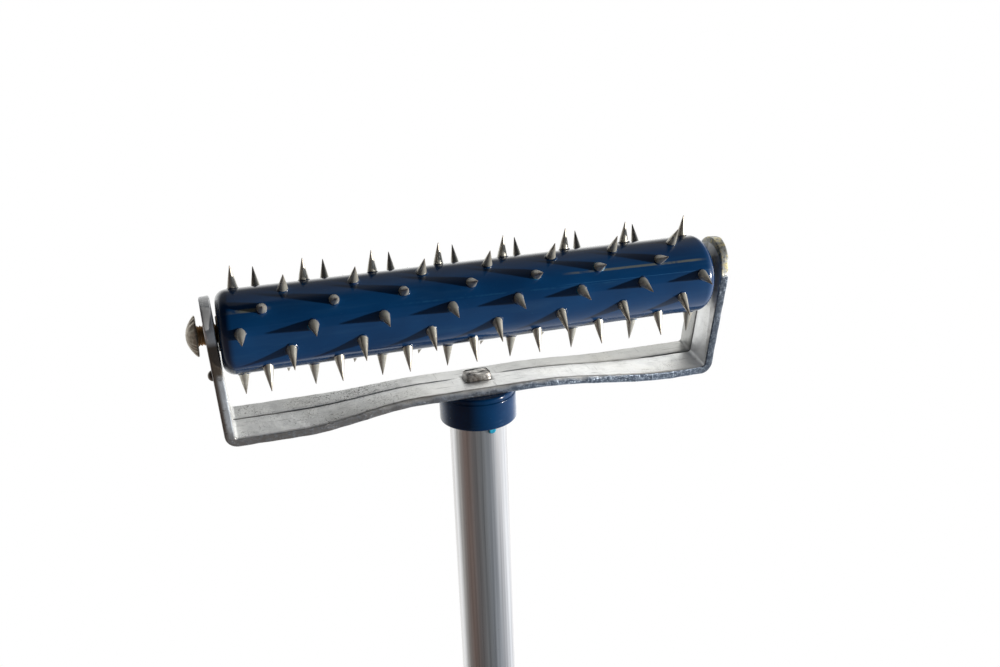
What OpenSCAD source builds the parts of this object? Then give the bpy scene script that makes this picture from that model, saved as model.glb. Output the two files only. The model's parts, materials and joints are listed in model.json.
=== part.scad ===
// Spiked perforating roller on a tube handle.
// A moulded plastic roller with twelve rows of steel spikes turns on a headed axle
// between the arms of a bent flat-bar yoke. The yoke is riveted to a tube handle.
// Units are millimetres, +Z is up along the handle and X runs along the roller axle.
// The origin is on the handle centreline, in the middle of the hand grip.

/* [Roller] */
// outside radius of the moulded roller
roller_r = 17; // [16:0.5:18]
// length of the moulded roller over its rounded ends
roller_len = 209.6; // [208:0.4:210]
// wall thickness of the moulded shell
shell_wall = 7; // [6.5:0.5:8]
// radius of the rounded edge at each end of the shell
shell_edge_r = 5; // [2:0.5:5]
// sideways place of the roller between the arms, minus towards the axle head
roller_x = -1.2; // [-1.4:0.1:0]

/* [Spikes] */
// number of spike rows around the roller
row_count = 12; // [12]
// distance between neighbouring spikes in a row
spike_pitch = 27.75; // [27:0.05:28]
// length of a spike's point, from the roller surface to its tip
spike_len = 9.9; // [6:0.1:10]
// lean of every spike in degrees, away from straight out towards the next lower row
spike_lean = 23.4; // [18:0.2:28]
// radius of a spike where it leaves the plastic
spike_r = 2.1; // [1.8:0.1:2.4]
// depth of the plain shank pressed into the shell
spike_root = 5.5; // [4:0.5:6]
// angle of the first row above the front of the roller
row_start = 14; // [0:0.5:29]

/* [Yoke] */
// width of the flat bar
bar_w = 25; // [22:1:26]
// thickness of the flat bar
bar_t = 4; // [3:0.5:4.5]
// distance from the middle to the inner face of each arm, level with the axle
arm_in = 107; // [106.9:0.1:108]
// outward lean of each arm in degrees
arm_splay = 2.7; // [2:0.1:3]
// distance from the axle centre down to the inner face of the yoke base
base_drop = 42.6; // [42:0.2:46]
// tilt of the arms against the handle in degrees
yoke_tilt = 10.4; // [9:0.2:12]
// height of the raised, level seat in the middle of the base above its ends
seat_rise = 4.1; // [3:0.1:5]
// height of the step pressed along the inner face of the bar
strip_h = 0.2; // [0.1:0.1:0.8]

/* [Axle] */
// radius of the axle shank
axle_r = 4; // [3.5:0.5:4]
// radius of the domed axle head
head_r = 8.2; // [7:0.2:9]
// height of the domed axle head
head_h = 3.4; // [3:0.2:5]
// gap between the axle head and the left arm
head_gap = 3; // [1:0.2:3.4]

/* [Handle] */
// outside radius of the handle tube
tube_r = 13; // [12.5:0.25:13.5]
// wall thickness of the handle tube
tube_wall = 1.5; // [1:0.25:2]
// height of the roller axle above the middle of the grip
axle_z = 290; // [280:5:330]
// outside radius of the plastic collar under the yoke
collar_r = 17; // [16:0.5:18]
// length of the hand grip
grip_len = 130; // [100:5:150]
// outside radius of the hand grip
grip_r = 16; // [15.5:0.5:17]

/* [Hidden] */
$fn = 64;

row_step = 360 / row_count;
// running clearance of the hub bores on the axle, on the radius
run_gap = 0.05;
hub_in = roller_r - shell_wall;
hub_depth = 16;
// how far the plug's face lies inside the end of the shell
hub_recess = 1.5;
long_row = 8;
short_row = 7;

// middle of the bar's thickness at the base ends, and the seat that the handle meets
base_mid = -base_drop - bar_t / 2;
seat_mid = base_mid + seat_rise;
seat_z = seat_mid * cos(yoke_tilt) + bar_t / 2;
// the leaning arms carry the roller forward of the handle centreline
axle_y = seat_mid * sin(yoke_tilt);
arm_out = arm_in + bar_t / cos(arm_splay);
// where an arm's rounded end starts above the axle, and how tall that end is
arm_top_z = 0.8;
round_h = 15;
arm_hole_r = axle_r + 0.1;
strip_low_z = -24;
strip_end_z = -14;
rivet_z = -18.8;
bend_in = 1.5;
strip_edge = 2.1;
strip_slope = 0.5;
// what is left of the step where it has faded out
thin = 0.02;
// distances from the middle at which an edge of the base starts to rise and at which it has
// reached the seat; the bar was bent by hand, so its front edge differs left and right
front_foot = [78, 92];
front_top = [28, 23];
back_foot = 65;
back_top = 20;
bend_steps = 6;
sway_steps = 13;
round_steps = 9;

spacer_r = 7;
spacer_gap = 0.3;
spacer_end = arm_in - 0.5;
nut_af = 11;
nut_h = 2.6;

collar_h = 14.4;
collar_top = axle_z + seat_z - bar_t;
collar_bottom = collar_top - collar_h;
tube_top = collar_top - 3;
grip_top = grip_len / 2;
grip_bottom = -grip_len / 2;
tube_bottom = grip_bottom + 4;
tenon_x = 9;
tenon_y = 5.5;
tenon_head_h = 3.2;
spigot_len = 42;

// ---------- placing helpers ----------

// moves children so that their origin is the middle of the roller axle
module at_axle() {
    translate([0, axle_y, axle_z]) children();
}

// the same for the roller, which sits a little to one side
module at_roller() {
    at_axle() translate([roller_x, 0, 0]) children();
}

// puts the yoke's own upright frame at the axle, leaning with the arms
module at_yoke() {
    at_axle() rotate([yoke_tilt, 0, 0]) children();
}

// turns a shape drawn along +Z so that it runs along +X
module along_x() {
    rotate([0, 90, 0]) children();
}

// ---------- roller ----------

// puts a spike's own frame on the roller surface, leaning towards the next lower row
module at_spike() {
    translate([0, 0, roller_r]) rotate([spike_lean, 0, 0]) children();
}

// one shank-and-point spike, its point along +Z
module spike() {
    translate([0, 0, -spike_root]) cylinder(r = spike_r, h = spike_root, $fn = 32);
    cylinder(r1 = spike_r, r2 = 0.12, h = spike_len, $fn = 32);
}

function row_offset(i) = (i % 3) * spike_pitch / 3;
function row_size(i) = i % 3 == 0 ? long_row : short_row;
function row_first(i) = -(long_row - 1) * spike_pitch / 2 + row_offset(i);

// repeats children at the stations of row i, turned to that row's angle
module on_row(i) {
    rotate([90 - row_start - i * row_step, 0, 0])
        for (k = [0:row_size(i) - 1])
            translate([row_first(i) + k * spike_pitch, 0, 0]) children();
}

module spike_row(i) {
    color([0.62, 0.60, 0.56])
    at_roller() on_row(i) at_spike() spike();
}

// half section of the shell: plain wall with rounded outer edges
module shell_section() {
    half = roller_len / 2;
    translate([roller_r - shell_wall, -half]) square([shell_wall - shell_edge_r, roller_len]);
    translate([roller_r - shell_wall, -half + shell_edge_r])
        square([shell_wall, roller_len - 2 * shell_edge_r]);
    for (s = [-1, 1])
        translate([roller_r - shell_edge_r, s * (half - shell_edge_r)])
            circle(r = shell_edge_r);
}

module roller_shell() {
    color([0.03, 0.16, 0.36])
    at_roller() difference() {
        along_x() rotate_extrude($fn = 96) shell_section();
        translate([-roller_len / 2 - 1, 0, 0])
            along_x() cylinder(r = roller_r - shell_wall, h = roller_len + 2);
        for (i = [0:row_count - 1]) on_row(i) at_spike()
            translate([0, 0, -spike_root])
                cylinder(r = spike_r, h = spike_root + 1.5, $fn = 32);
    }
}

// plug that closes the right end of the shell and runs on the axle
module hub() {
    half = roller_len / 2;
    difference() {
        translate([half - hub_depth, 0, 0])
            along_x() cylinder(r = hub_in, h = hub_depth - hub_recess);
        translate([half - hub_depth - 1, 0, 0])
            along_x() cylinder(r = axle_r + run_gap, h = hub_depth + 2);
    }
}

// the left plug is the right plug seen in a mirror
module left_hub() {
    color([0.02, 0.10, 0.24]) at_roller() mirror([1, 0, 0]) hub();
}

module right_hub() {
    color([0.02, 0.10, 0.24]) at_roller() hub();
}

// ---------- axle ----------

// radius of the sphere whose cap makes the domed head
dome_r = (head_r * head_r + head_h * head_h) / (2 * head_h);
head_x = -arm_out - head_gap;
axle_end = arm_out + 0.4 + nut_h;

module axle() {
    color([0.62, 0.58, 0.50])
    at_axle() {
        translate([head_x, 0, 0]) along_x() cylinder(r = axle_r, h = axle_end - head_x);
        // shallow plain rim under the dome
        translate([head_x - 1, 0, 0]) along_x() cylinder(r = head_r, h = 1);
        // dome
        intersection() {
            translate([head_x - 1 - head_h + dome_r, 0, 0]) sphere(r = dome_r, $fn = 96);
            translate([head_x - 1 - head_h - 1, 0, 0])
                along_x() cylinder(r = head_r, h = head_h + 1);
        }
    }
}

module axle_nut() {
    color([0.66, 0.66, 0.64])
    at_axle() translate([arm_out + 0.4, 0, 0]) along_x() difference() {
        cylinder(r = nut_af / sqrt(3), h = nut_h, $fn = 6);
        translate([0, 0, -1]) cylinder(r = axle_r, h = nut_h + 2);
    }
}

// washer that fills the room between a hub and its arm
module spacer(side) {
    x0 = roller_len / 2 - hub_recess + spacer_gap + side * roller_x;
    thick = spacer_end - x0;
    at_axle() mirror([side < 0 ? 1 : 0, 0, 0])
        translate([x0, 0, 0]) along_x() difference() {
            cylinder(r = spacer_r, h = thick);
            translate([0, 0, -1]) cylinder(r = axle_r, h = thick + 2);
        }
}

module left_spacer() {
    color([0.55, 0.54, 0.52]) spacer(-1);
}

module right_spacer() {
    color([0.55, 0.54, 0.52]) spacer(1);
}

// ---------- yoke ----------

// smooth 0 to 1 ramp
function ease(u) = let (v = min(1, max(0, u))) v * v * (3 - 2 * v);

// rise of the front and back edge of the base above its plain ends, side 0 left, 1 right
half_drop = bar_w / 2 * sin(yoke_tilt);
function front_rise(x, side) = (seat_rise + half_drop)
    * ease((front_foot[side] - x) / (front_foot[side] - front_top[side]));
function back_rise(x) =
    (seat_rise - half_drop) * ease((back_foot - x) / (back_foot - back_top));
function mid_rise(x, side) = (front_rise(x, side) + back_rise(x)) / 2;

// height of the pressed step, which fades out towards the seat's hole
function step_at(x) = thin + (strip_h - thin) * ease((x - 5) / 16);

bend_r = bend_in + bar_t / 2;
turn = 90 - arm_splay;

// where the bend into the arm ends, and the middle of the arm's thickness above it
bend_end_z = base_mid + bend_r * (1 - cos(turn));
function arm_mid_x(z) = arm_in + bar_t / 2 + z * tan(arm_splay);
corner_x = arm_mid_x(bend_end_z) - bend_r * sin(turn);

// stations from the seat out to the corner and up the arm, as on the right side: [x, z,
// direction of travel in degrees, twist in degrees, step height, share of the full width]
function base_stations(side) = [
    for (x = concat([6, 12, 17], [for (i = [0:sway_steps])
            back_top + (front_foot[side] - back_top) * i / sway_steps]))
        let (slope = mid_rise(x + 0.5, side) - mid_rise(x - 0.5, side),
            twist = -asin((front_rise(x, side) - back_rise(x)) / bar_w))
        [x, base_mid + mid_rise(x, side), atan(slope), twist, step_at(x), 1]
];

function corner_stations() = [
    for (i = [0:bend_steps])
        let (a = turn * i / bend_steps)
        [corner_x + bend_r * sin(a), base_mid + bend_r * (1 - cos(a)), a, 0, strip_h, 1]
];

function arm_stations() = [
    for (z = [-32, strip_low_z, strip_end_z])
        [arm_mid_x(z), z, turn, 0, z == strip_end_z ? thin : strip_h, 1]
];

// the rounded end of the arm, its width following an ellipse
function round_stations() = [
    for (i = [0:round_steps])
        let (a = 84 * i / round_steps,
            z = arm_top_z + round_h * sin(a))
        [arm_mid_x(z), z, turn, 0, thin, cos(a)]
];

function half_bar(side) =
    concat(base_stations(side), corner_stations(), arm_stations(), round_stations());
right_half = half_bar(1);
// the left side runs the other way, from the arm's end in to the seat
left_half = [
    for (i = [len(half_bar(0)) - 1:-1:0])
        let (s = half_bar(0)[i]) [-s[0], s[1], -s[2], s[3], s[4], s[5]]
];
stations = concat(left_half, right_half);

// corners of the bar's section: [across the bar, through the bar], inner side positive
function bar_section(strip, share) = [
    [-bar_w / 2 * share, -bar_t / 2], [bar_w / 2 * share, -bar_t / 2],
    [bar_w / 2 * share, bar_t / 2 + strip],
    [(strip_edge + strip_slope) * share, bar_t / 2 + strip],
    [strip_edge * share, bar_t / 2], [-bar_w / 2 * share, bar_t / 2]
];

// one section corner placed in the yoke frame
function place(s, q) =
    let (y = q[0] * cos(s[3]) - q[1] * sin(s[3]),
        n = q[0] * sin(s[3]) + q[1] * cos(s[3]))
    [s[0] - n * sin(s[2]), y, s[1] + n * cos(s[2])];

section_n = 6;

module bent_bar() {
    count = len(stations);
    points = [for (s = stations) for (q = bar_section(s[4], s[5])) place(s, q)];
    sides = [
        for (i = [0:count - 2]) for (j = [0:section_n - 1])
            let (a = i * section_n + j, b = i * section_n + (j + 1) % section_n)
            each [[a, b + section_n, b], [a, a + section_n, b + section_n]]
    ];
    first = [for (j = [0:section_n - 1]) j];
    last = [for (j = [section_n - 1:-1:0]) (count - 1) * section_n + j];
    polyhedron(points = points, faces = concat(sides, [first], [last]));
}

module yoke() {
    color([0.72, 0.73, 0.74])
    at_yoke() difference() {
        bent_bar();
        // axle hole through both arms
        translate([-arm_out - 5, 0, 0])
            along_x() cylinder(r = arm_hole_r, h = 2 * arm_out + 10);
        // rivet hole in the left arm
        translate([-arm_out - 5, 0, rivet_z]) along_x() cylinder(r = 1.5, h = 12, $fn = 32);
        // square-cornered hole for the spigot tenon, upright along the handle
        rotate([-yoke_tilt, 0, 0]) translate([0, -axle_y, seat_z - bar_t / 2])
            cube([tenon_x + 0.1, tenon_y + 0.1, bar_t * 3], center = true);
    }
}

// small domed rivet through the left arm
module arm_rivet() {
    rivet_head = 2.3;
    face = arm_mid_x(rivet_z) + bar_t / 2 + 0.15;
    color([0.35, 0.33, 0.30])
    at_yoke() translate([-face, 0, rivet_z]) {
        along_x() cylinder(r = 1.5, h = bar_t - 0.1, $fn = 32);
        intersection() {
            translate([0.35, 0, 0]) sphere(r = rivet_head + 0.35, $fn = 48);
            translate([-rivet_head - 1, 0, 0])
                along_x() cylinder(r = rivet_head, h = rivet_head + 1, $fn = 48);
        }
    }
}

// ---------- handle ----------

// steel plug in the top of the tube, its tenon riveted over on the yoke
module handle_spigot() {
    color([0.45, 0.43, 0.40]) {
        // body inside the tube and collar
        translate([0, 0, collar_top - spigot_len])
            cylinder(r = tube_r - tube_wall - 0.1, h = spigot_len);
        // tenon through the bar
        translate([-tenon_x / 2, -tenon_y / 2, collar_top - 1])
            cube([tenon_x, tenon_y, bar_t + 1.5]);
        // riveted head
        translate([-6.25, -4.2, collar_top + bar_t])
            cube([12.5, 8.4, tenon_head_h]);
    }
}

module collar() {
    ring_h = 2.2;
    color([0.03, 0.14, 0.33]) difference() {
        union() {
            translate([0, 0, collar_bottom]) cylinder(r = collar_r, h = collar_h - ring_h);
            translate([0, 0, collar_top - ring_h - 0.01])
                cylinder(r = collar_r - 0.5, h = ring_h + 0.01);
        }
        translate([0, 0, collar_bottom - 1])
            cylinder(r = tube_r, h = tube_top - collar_bottom + 1);
        translate([0, 0, collar_bottom - 1])
            cylinder(r = tube_r - tube_wall, h = collar_h + 2);
    }
}

module handle_tube() {
    color([0.78, 0.78, 0.79]) difference() {
        translate([0, 0, tube_bottom]) cylinder(r = tube_r, h = tube_top - tube_bottom);
        translate([0, 0, tube_bottom - 1])
            cylinder(r = tube_r - tube_wall, h = tube_top - tube_bottom + 2);
    }
}

module grip() {
    ring_w = 2;
    ring_count = 12;
    ring_pitch = (grip_len - 20) / ring_count;
    color([0.05, 0.05, 0.06]) difference() {
        translate([0, 0, grip_bottom]) cylinder(r = grip_r, h = grip_len);
        translate([0, 0, grip_bottom - 1]) cylinder(r = tube_r, h = grip_len + 2);
        // shallow finger rings
        for (i = [0:ring_count])
            translate([0, 0, grip_bottom + 10 + i * ring_pitch - ring_w / 2]) difference() {
                cylinder(r = grip_r + 1, h = ring_w);
                translate([0, 0, -1]) cylinder(r = grip_r - 0.8, h = ring_w + 2);
            }
    }
}

// closed end plug with a loop hole for hanging the tool up
module grip_cap() {
    plug_h = 14;
    tab_r = 9;
    color([0.04, 0.04, 0.05]) {
        translate([0, 0, tube_bottom])
            cylinder(r = tube_r - tube_wall - 0.1, h = plug_h);
        translate([0, 0, tube_bottom - 4]) cylinder(r = tube_r - 0.1, h = 4.01);
        translate([0, 0, grip_bottom - 3]) cylinder(r = grip_r, h = 3.01);
        difference() {
            union() {
                translate([-tab_r, -2.5, grip_bottom - 3 - tab_r])
                    cube([2 * tab_r, 5, tab_r + 0.01]);
                translate([0, 2.5, grip_bottom - 3 - tab_r])
                    rotate([90, 0, 0]) cylinder(r = tab_r, h = 5);
            }
            translate([0, 5, grip_bottom - 3 - tab_r])
                rotate([90, 0, 0]) cylinder(r = 4, h = 10);
        }
    }
}

roller_shell();
left_hub();
right_hub();
spike_row(0);  // spike_row_01
spike_row(1);  // spike_row_02
spike_row(2);  // spike_row_03
spike_row(3);  // spike_row_04
spike_row(4);  // spike_row_05
spike_row(5);  // spike_row_06
spike_row(6);  // spike_row_07
spike_row(7);  // spike_row_08
spike_row(8);  // spike_row_09
spike_row(9);  // spike_row_10
spike_row(10);  // spike_row_11
spike_row(11);  // spike_row_12
axle();
axle_nut();
left_spacer();
right_spacer();
yoke();
arm_rivet();
handle_spigot();
collar();
handle_tube();
grip();
grip_cap();
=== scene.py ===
"""A spiked perforating roller on a tube handle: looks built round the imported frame."""

import json
import math
import random

import bmesh
import bpy
from mathutils import Matrix, Vector


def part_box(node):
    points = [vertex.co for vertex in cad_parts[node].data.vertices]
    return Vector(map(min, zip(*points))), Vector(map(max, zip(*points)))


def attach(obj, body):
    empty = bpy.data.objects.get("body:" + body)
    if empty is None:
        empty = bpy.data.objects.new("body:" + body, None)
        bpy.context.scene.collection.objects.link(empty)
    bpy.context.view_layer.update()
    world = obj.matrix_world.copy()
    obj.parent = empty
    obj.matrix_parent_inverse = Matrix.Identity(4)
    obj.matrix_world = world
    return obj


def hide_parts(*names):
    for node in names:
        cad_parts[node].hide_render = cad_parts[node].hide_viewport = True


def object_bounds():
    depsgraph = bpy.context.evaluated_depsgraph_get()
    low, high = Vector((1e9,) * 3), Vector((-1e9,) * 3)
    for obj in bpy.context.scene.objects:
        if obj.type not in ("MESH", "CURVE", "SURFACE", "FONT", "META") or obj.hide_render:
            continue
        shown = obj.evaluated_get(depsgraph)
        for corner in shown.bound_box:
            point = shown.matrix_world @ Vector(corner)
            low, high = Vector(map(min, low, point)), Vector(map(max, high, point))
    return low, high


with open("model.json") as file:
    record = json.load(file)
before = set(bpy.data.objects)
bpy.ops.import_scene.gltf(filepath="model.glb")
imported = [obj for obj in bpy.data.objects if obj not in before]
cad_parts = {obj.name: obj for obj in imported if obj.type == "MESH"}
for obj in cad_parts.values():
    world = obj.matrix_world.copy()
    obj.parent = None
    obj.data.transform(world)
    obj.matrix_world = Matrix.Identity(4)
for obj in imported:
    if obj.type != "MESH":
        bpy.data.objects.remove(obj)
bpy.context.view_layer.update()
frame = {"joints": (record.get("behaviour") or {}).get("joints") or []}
MM = 0.001

# ---------- places, all from the frame ----------
spin = next(j for j in frame["joints"] if j["name"] == "roller_spin")
AX = Vector(spin["pos_m"])                       # middle of the roller axle
shell_lo, shell_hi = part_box("roller_shell")
ROLLER_R = (shell_hi.z - shell_lo.z) / 2
ROLLER_HALF = (shell_hi.x - shell_lo.x) / 2
ROLL = Vector(((shell_hi.x + shell_lo.x) / 2, AX.y, AX.z))   # middle of the roller itself
collar_lo, collar_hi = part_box("collar")
tube_lo, tube_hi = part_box("handle_tube")
grip_lo, grip_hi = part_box("grip")
cap_lo, cap_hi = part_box("grip_cap")
axle_lo, axle_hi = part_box("axle")
nut_lo, nut_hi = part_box("axle_nut")
spig_lo, spig_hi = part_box("handle_spigot")
TUBE_R = (tube_hi.x - tube_lo.x) / 2
TILT = math.radians(10.4)                        # lean of the yoke against the handle
SPLAY = math.radians(2.7)                        # outward lean of each arm
ARM_IN = 107.0 * MM                              # inner face of an arm, level with the axle


# ---------- small mesh kit ----------
def make(name, verts, faces, sharp_deg=40):
    """A mesh object from plain lists, normals outward, soft shading with crisp edges kept."""
    me = bpy.data.meshes.new(name)
    me.from_pydata([tuple(v) for v in verts], [], faces)
    me.validate()
    bm = bmesh.new()
    bm.from_mesh(me)
    bmesh.ops.remove_doubles(bm, verts=bm.verts, dist=1e-7)
    bmesh.ops.recalc_face_normals(bm, faces=bm.faces)
    lim = math.radians(sharp_deg)
    for f in bm.faces:
        f.smooth = True
    for e in bm.edges:
        if len(e.link_faces) == 2:
            e.smooth = e.calc_face_angle(0.0) < lim
    bm.to_mesh(me)
    bm.free()
    ob = bpy.data.objects.new(name, me)
    bpy.context.scene.collection.objects.link(ob)
    return ob


def turned(profile, segs, closed=False, wobble=None):
    """Verts and faces of a profile [(radius, height)] turned about Z. A closed profile is a ring."""
    verts, faces, rings = [], [], []
    for r, h in profile:
        if r <= 1e-9:
            rings.append([len(verts)])
            verts.append(Vector((0, 0, h)))
        else:
            ids = []
            for k in range(segs):
                a = 2 * math.pi * k / segs
                rr, hh = (r, h) if wobble is None else wobble(r, h, a)
                ids.append(len(verts))
                verts.append(Vector((rr * math.cos(a), rr * math.sin(a), hh)))
            rings.append(ids)
    pairs = list(zip(rings, rings[1:])) + ([(rings[-1], rings[0])] if closed else [])
    for a, b in pairs:
        for k in range(segs):
            k2 = (k + 1) % segs
            if len(a) == 1 and len(b) == 1:
                continue
            if len(a) == 1:
                faces.append((a[0], b[k], b[k2]))
            elif len(b) == 1:
                faces.append((a[k], b[0], a[k2]))
            else:
                faces.append((a[k], b[k], b[k2], a[k2]))
    return verts, faces


def placed(vf, m):
    return [m @ v for v in vf[0]], vf[1]


def joined(parts):
    verts, faces = [], []
    for v, f in parts:
        n = len(verts)
        verts += v
        faces += [tuple(i + n for i in q) for q in f]
    return verts, faces


def arc(cx, cy, r, a0, a1, n):
    """Points of a circular arc in degrees, ends included."""
    return [(cx + r * math.cos(math.radians(a0 + (a1 - a0) * i / n)),
             cy + r * math.sin(math.radians(a0 + (a1 - a0) * i / n))) for i in range(n + 1)]


ALONG_X = Matrix.Rotation(math.pi / 2, 4, "Y")     # +Z to +X


def at(x=0.0, y=0.0, z=0.0):
    return Matrix.Translation((x, y, z))


def smooth01(u):
    u = min(1.0, max(0.0, u))
    return u * u * (3 - 2 * u)


# ---------- node kit ----------
class Nodes:
    """Short way to write a node tree."""

    def __init__(self, tree):
        self.t = tree

    def link(self, a, b):
        self.t.links.new(a, b)

    def new(self, kind, **props):
        n = self.t.nodes.new(kind)
        for k, v in props.items():
            setattr(n, k, v)
        return n

    def feed(self, pairs):
        """Give each input a number, a colour or another node's output."""
        for socket, v in pairs:
            if isinstance(v, (int, float)):
                socket.default_value = v
            elif isinstance(v, tuple):
                socket.default_value = (*v, 1)
            else:
                self.link(v, socket)

    def ramp(self, fac, stops):
        n = self.new("ShaderNodeValToRGB")
        e = n.color_ramp.elements
        while len(e) < len(stops):
            e.new(0.5)
        for i, (p, c) in enumerate(stops):
            e[i].position = p
            e[i].color = (*c, 1) if isinstance(c, tuple) else (c, c, c, 1)
        self.link(fac, n.inputs["Fac"])
        return n.outputs["Color"]

    def math(self, op, a, b=0.0):
        n = self.new("ShaderNodeMath", operation=op)
        self.feed(zip(n.inputs, (a, b)))
        return n.outputs[0]

    def add(self, a, b):
        return self.math("ADD", a, b)

    def sub(self, a, b):
        return self.math("SUBTRACT", a, b)

    def mul(self, a, b):
        return self.math("MULTIPLY", a, b)

    def mix(self, fac, a, b):
        n = self.new("ShaderNodeMix", data_type="RGBA")
        self.feed(((n.inputs[0], fac), (n.inputs[6], a), (n.inputs[7], b)))
        return n.outputs[2]

    def span(self, fac, lo, hi, a=0.0, b=1.0):
        """fac, carried from lo..hi to a..b and held there at both ends."""
        n = self.new("ShaderNodeMapRange")
        for end, v in (("From Min", lo), ("From Max", hi), ("To Min", a), ("To Max", b)):
            n.inputs[end].default_value = v
        self.link(fac, n.inputs["Value"])
        return n.outputs[0]

    def lerp(self, fac, a, b):
        return self.span(fac, 0.0, 1.0, a, b)


class Mat(Nodes):
    """A procedural material round one Principled shader, in object coordinates."""

    def __init__(self, name, **values):
        self.m = bpy.data.materials.new(name)
        self.m.use_nodes = True
        super().__init__(self.m.node_tree)
        self.b = self.t.nodes["Principled BSDF"]
        self.coord = self.new("ShaderNodeTexCoord").outputs["Object"]
        for k, v in values.items():
            self.b.inputs[k.replace("_", " ")].default_value = v

    def scaled(self, sx, sy, sz, rot=(0, 0, 0)):
        n = self.new("ShaderNodeMapping")
        n.inputs["Scale"].default_value = (sx, sy, sz)
        n.inputs["Rotation"].default_value = rot
        self.link(self.coord, n.inputs["Vector"])
        return n.outputs[0]

    def noise(self, scale, detail=4.0, rough=0.5, vec=None, distort=0.0):
        n = self.new("ShaderNodeTexNoise")
        for key, v in (("Scale", scale), ("Detail", detail), ("Roughness", rough), ("Distortion", distort)):
            n.inputs[key].default_value = v
        self.link(vec or self.coord, n.inputs["Vector"])
        return n.outputs["Fac"]

    def cells(self, scale, vec=None):
        n = self.new("ShaderNodeTexVoronoi")
        n.inputs["Scale"].default_value = scale
        self.link(vec or self.coord, n.inputs["Vector"])
        return n.outputs["Distance"]

    def axis(self, which):
        n = self.new("ShaderNodeSeparateXYZ")
        self.link(self.coord, n.inputs[0])
        return n.outputs[which]

    def length(self, a, b):
        return self.math("SQRT", self.add(self.mul(a, a), self.mul(b, b)))

    def around_axle(self):
        """(angle about the roller axle, distance from it) of the shaded point."""
        y, z = self.sub(self.axis(1), AX.y), self.sub(self.axis(2), AX.z)
        return self.math("ARCTAN2", z, y), self.length(y, z)

    def bump(self, height, strength, dist, under=None):
        n = self.new("ShaderNodeBump")
        n.inputs["Strength"].default_value = strength
        n.inputs["Distance"].default_value = dist
        self.link(height, n.inputs["Height"])
        if under is not None:
            self.link(under, n.inputs["Normal"])
        return n.outputs[0]

    def out(self, color, rough, normal):
        for key, v in (("Base Color", color), ("Roughness", rough), ("Normal", normal)):
            self.link(v, self.b.inputs[key])
        return self.m


# ---------- materials ----------
def blue_plastic(name, base, dark, rough_up=0.0, shine=0.5, coat=0.3, marks=None):
    """Glossy moulded plastic; marks(kit, colour) may paint more onto it."""
    k = Mat(name, IOR=1.46, Specular_IOR_Level=shine, Coat_Weight=coat, Coat_Roughness=0.05)
    cloud = k.noise(38, 3)
    color = k.mix(k.ramp(cloud, [(0.35, 0.0), (0.7, 1.0)]), dark, base)
    # fine pale dust and rubbed specks
    speck = k.ramp(k.noise(1500, 2), [(0.70, 0.0), (0.76, 1.0)])
    dust = k.mul(speck, k.ramp(k.noise(60, 2), [(0.45, 0.0), (0.65, 0.5)]))
    color = k.mix(dust, color, (0.05, 0.13, 0.27))
    # long faint rub marks along the roller
    rub = k.ramp(k.noise(90, 3, 0.6, k.scaled(0.35, 3.2, 3.2)), [(0.52, 0.0), (0.74, 1.0)])
    color = k.mix(k.mul(rub, 0.20), color, (0.02, 0.085, 0.19))
    rough = k.add(k.lerp(k.noise(55, 4), 0.09 + rough_up, 0.20 + rough_up), k.mul(rub, 0.12))
    if marks:
        color = marks(k, color)
    nb = k.bump(k.noise(26, 2), 0.22, 0.0006)
    nb = k.bump(k.noise(700, 3, 0.6, k.scaled(0.25, 1, 1)), 0.10, 0.00008, nb)
    return k.out(color, rough, nb)


# lines along the roller: degrees above its front, half width in degrees, ends in mm, drift, raggedness,
# strength and colour
STREAKS = ((37.5, 2.3, 34, 101, -0.9, 0.30, 0.55, (0.21, 0.21, 0.14)),       # painted yellow reflection streak at the right
           (43.6, 3.4, -103, -84, 0.0, 0.30, 0.70, (0.24, 0.23, 0.14)),      # painted yellow reflection streak at the left
           (21.6, 0.55, 30, 104.6, -1.0, 0.20, 0.50, (0.03, 0.13, 0.30)),    # parting line
           (18.5, 1.6, -40, 60, -1.2, 0.45, 0.35, (0.02, 0.10, 0.22)))       # faint scuff under it


def barrel_marks_and_reflections(k, color):
    """The roller's mould parting line, its old scuffs from the floor, and two painted yellow reflection
    streaks.
    """
    ang, _ = k.around_axle()
    x = k.sub(k.axis(0), ROLL.x)
    # the first two STREAKS are painted reflections of a warm strip of light; the parting line and the scuff are
    # the roller's own
    for deg, half_deg, x0, x1, drift, ragged, strength, tone in STREAKS:
        a, half = math.pi - math.radians(deg), math.radians(half_deg)
        off = k.add(k.sub(ang, a), k.mul(k.sub(x, 0.08), drift))
        off = k.add(off, k.mul(k.sub(k.noise(160, 2), 0.5), 0.02))
        line = k.span(k.math("ABSOLUTE", off), half * 0.4, half, 1.0, 0.0)
        ends = k.mul(k.span(x, x0 * MM, (x0 + 9) * MM), k.span(x, (x1 - 6) * MM, x1 * MM, 1.0, 0.0))
        broken = k.ramp(k.noise(120, 4, 0.7), [(ragged, 0.0), (ragged + 0.2, 1.0)])
        color = k.mix(k.mul(k.mul(k.mul(line, ends), broken), strength), color, tone)
    # small scuffs and crumbs of old adhesive
    scuff = k.ramp(k.noise(260, 5, 0.75, distort=1.5), [(0.69, 0.0), (0.73, 1.0)])
    return k.mix(k.mul(scuff, 0.30), color, (0.03, 0.15, 0.30))


def steel_point(name):
    k = Mat(name, Metallic=0.62, IOR=2.2)
    _, dist = k.around_axle()
    up = k.span(dist, ROLLER_R, ROLLER_R + 9.2 * MM)
    color = k.ramp(up, [(0.0, (0.60, 0.58, 0.50)), (0.45, (0.62, 0.59, 0.51)),
                        (0.82, (0.44, 0.40, 0.34)), (1.0, (0.27, 0.20, 0.15))])
    stain = k.ramp(k.noise(420, 4, 0.65), [(0.45, 0.0), (0.70, 1.0)])
    color = k.mix(k.mul(stain, 0.42), color, (0.24, 0.20, 0.14))
    rough = k.lerp(k.noise(600, 3), 0.30, 0.52)
    nb = k.bump(k.noise(1500, 3), 0.35, 0.00012)
    return k.out(color, rough, nb)


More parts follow.
